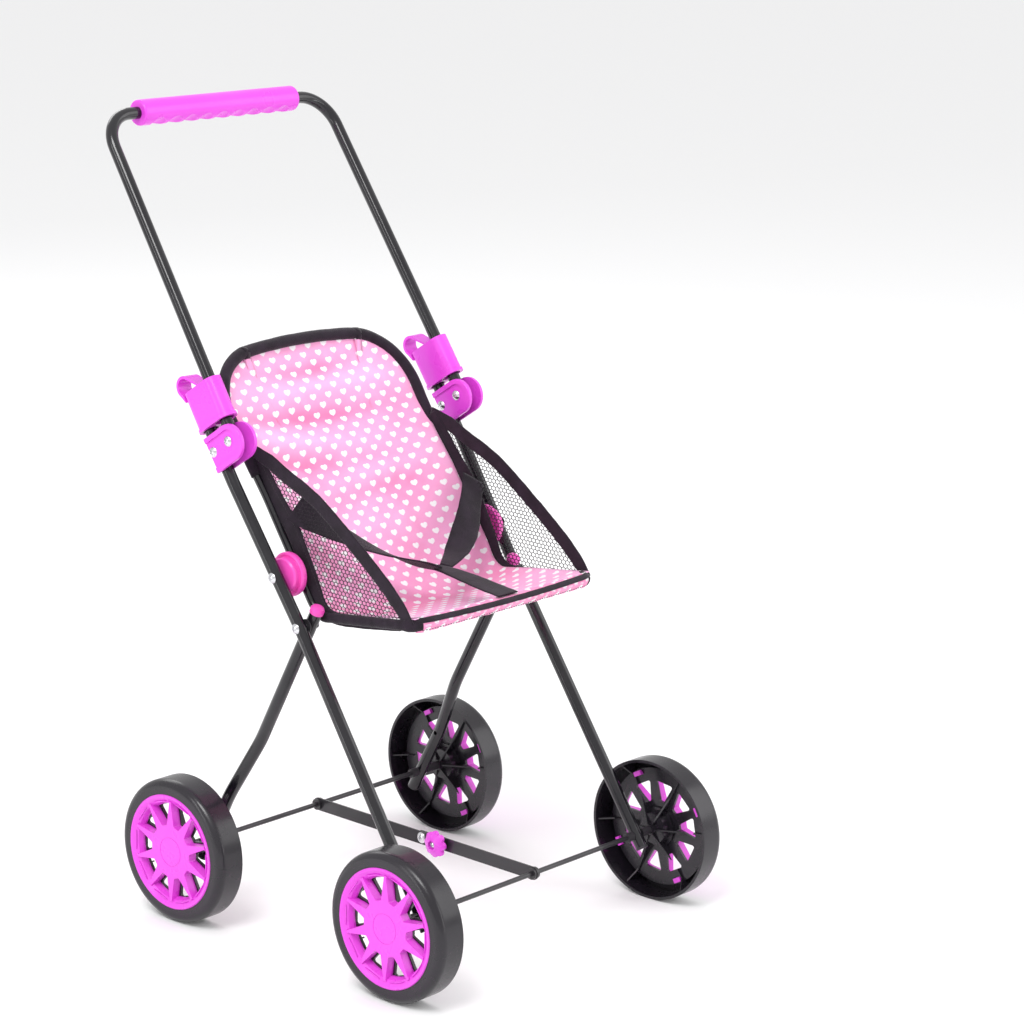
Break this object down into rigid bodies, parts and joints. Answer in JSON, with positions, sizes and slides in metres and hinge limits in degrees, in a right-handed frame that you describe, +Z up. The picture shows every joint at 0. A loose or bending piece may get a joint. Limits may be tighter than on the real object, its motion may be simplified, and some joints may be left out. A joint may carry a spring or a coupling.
{
  "type": "doll stroller",
  "caption": "Folding doll stroller: crossed black tube legs, moulded spoked wheels, pink sling seat with mesh sides and harness, and a fold-down push handle with lock sleeves.",
  "frame": {"origin": "on the floor, under the middle of the whole stroller", "axes": "+Z up, the stroller faces -Y and is pushed from +Y, +X to the child's left"},
  "size_m": [0.3132, 0.4008, 0.599],
  "materials": {
    "tube_black": "gloss black enamel on steel tube",
    "rod_black": "satin black on steel rod and strip",
    "wheel_black": "polished black moulding",
    "black_plastic": "matt black moulding",
    "magenta_plastic": "semi-gloss magenta moulding",
    "pink_plastic": "semi-gloss pink moulding",
    "zinc_steel": "bright zinc plate",
    "pink_fabric": "pink woven polyester with a small white print",
    "black_webbing": "black woven tape",
    "black_mesh": "black hexagonal net"
  },
  "bodies": {
    "front_frame": {"cross_pivot_rivets": "zinc_steel", "cross_pivot_washers": "black_plastic", "front_leg_left": "tube_black", "front_leg_plugs": "black_plastic", "front_leg_right": "tube_black", "hinge_fixing_nuts": "zinc_steel", "hinge_fixing_screws": "zinc_steel", "hinge_pivot_nuts": "zinc_steel", "hinge_pivot_screws": "zinc_steel", "hinge_plate_inner_left": "magenta_plastic", "hinge_plate_inner_right": "magenta_plastic", "hinge_plate_outer_left": "magenta_plastic", "hinge_plate_outer_right": "magenta_plastic", "recline_disc_left": "pink_plastic", "recline_disc_right": "pink_plastic", "recline_screws": "zinc_steel", "front_axle": "rod_black", "front_axle_collars": "black_plastic", "front_push_nuts": "zinc_steel", "front_wheel_spacers": "black_plastic"},
    "rear_frame": {"rear_leg_right": "tube_black", "rear_leg_left": "tube_black", "rear_leg_caps": "pink_plastic", "rear_leg_plugs": "black_plastic", "rear_axle": "rod_black", "rear_axle_collars": "black_plastic", "rear_push_nuts": "zinc_steel", "rear_wheel_spacers": "black_plastic"},
    "handle": {"handle_tube": "tube_black", "handle_grip": "magenta_plastic"},
    "sleeve_right": {"lock_sleeve_right": "magenta_plastic"},
    "sleeve_left": {"lock_sleeve_left": "magenta_plastic"},
    "seat": {"back_hoop": "tube_black", "seat_hoop": "tube_black", "back_panel": "pink_fabric", "seat_panel": "pink_fabric", "back_binding": "black_webbing", "front_hem": "pink_fabric", "side_mesh_right": "black_mesh", "side_mesh_left": "black_mesh", "side_binding_right": "black_webbing", "side_binding_left": "black_webbing", "waist_strap_right": "black_webbing", "waist_strap_left": "black_webbing", "crotch_strap": "black_webbing"},
    "link_front": {"link_strip_front": "rod_black", "link_rivet_tail": "zinc_steel"},
    "link_rear": {"link_strip_rear": "rod_black", "link_rivet": "zinc_steel", "link_knob_screw": "zinc_steel"},
    "link_knob": {"link_knob": "magenta_plastic"},
    "wheel_front_right": {"wheel_front_right": "wheel_black", "hubcap_front_right": "magenta_plastic"},
    "wheel_front_left": {"wheel_front_left": "wheel_black", "hubcap_front_left": "magenta_plastic"},
    "wheel_rear_right": {"wheel_rear_right": "wheel_black", "hubcap_rear_right": "magenta_plastic"},
    "wheel_rear_left": {"wheel_rear_left": "wheel_black", "hubcap_rear_left": "magenta_plastic"}
  },
  "joints": [
    {"name": "handle_fold", "type": "hinge", "parent": "front_frame", "child": "handle", "pos_m": [0, 0.04283, 0.36922], "axis": [1, 0, 0], "range_deg": [0, 180]},
    {"name": "sleeve_lift_right", "type": "slide", "parent": "handle", "child": "sleeve_right", "axis": [0.0234, 0.5576, 0.8298], "range_m": [0, 0.02]},
    {"name": "sleeve_lift_left", "type": "slide", "parent": "handle", "child": "sleeve_left", "axis": [-0.0234, 0.5576, 0.8298], "range_m": [0, 0.02]},
    {"name": "leg_fold", "type": "hinge", "parent": "front_frame", "child": "rear_frame", "pos_m": [0, -0.02083, 0.24042], "axis": [-1, 0, 0], "range_deg": [0, 30]},
    {"name": "link_front_swing", "type": "hinge", "parent": "front_frame", "child": "link_front", "pos_m": [0, -0.14543, 0.055], "axis": [1, 0, 0], "range_deg": [0, 46.37]},
    {"name": "link_rear_swing", "type": "hinge", "parent": "rear_frame", "child": "link_rear", "pos_m": [0, 0.07737, 0.055], "axis": [-1, 0, 0], "range_deg": [0, 39.81]},
    {"name": "link_knob_turn", "type": "hinge", "parent": "link_rear", "child": "link_knob", "pos_m": [0, -0.05103, 0.055], "axis": [1, 0, 0], "range_deg": [0, 180]},
    {"name": "seat_recline", "type": "hinge", "parent": "front_frame", "child": "seat", "pos_m": [0, 0.00182, 0.27412], "axis": [-1, 0, 0], "range_deg": [0, 20]},
    {"name": "wheel_front_right_spin", "type": "hinge", "parent": "front_frame", "child": "wheel_front_right", "pos_m": [-0.1445, -0.14543, 0.055], "axis": [1, 0, 0], "continuous": true},
    {"name": "wheel_front_left_spin", "type": "hinge", "parent": "front_frame", "child": "wheel_front_left", "pos_m": [0.1445, -0.14543, 0.055], "axis": [1, 0, 0], "continuous": true},
    {"name": "wheel_rear_right_spin", "type": "hinge", "parent": "rear_frame", "child": "wheel_rear_right", "pos_m": [-0.1445, 0.07737, 0.055], "axis": [1, 0, 0], "continuous": true},
    {"name": "wheel_rear_left_spin", "type": "hinge", "parent": "rear_frame", "child": "wheel_rear_left", "pos_m": [0.1445, 0.07737, 0.055], "axis": [1, 0, 0], "continuous": true}
  ],
  "couplings": [
    {"joint": "link_front_swing", "follows": "leg_fold", "ratio": 1.5289},
    {"joint": "link_rear_swing", "follows": "leg_fold", "ratio": 1.3103}
  ]
}
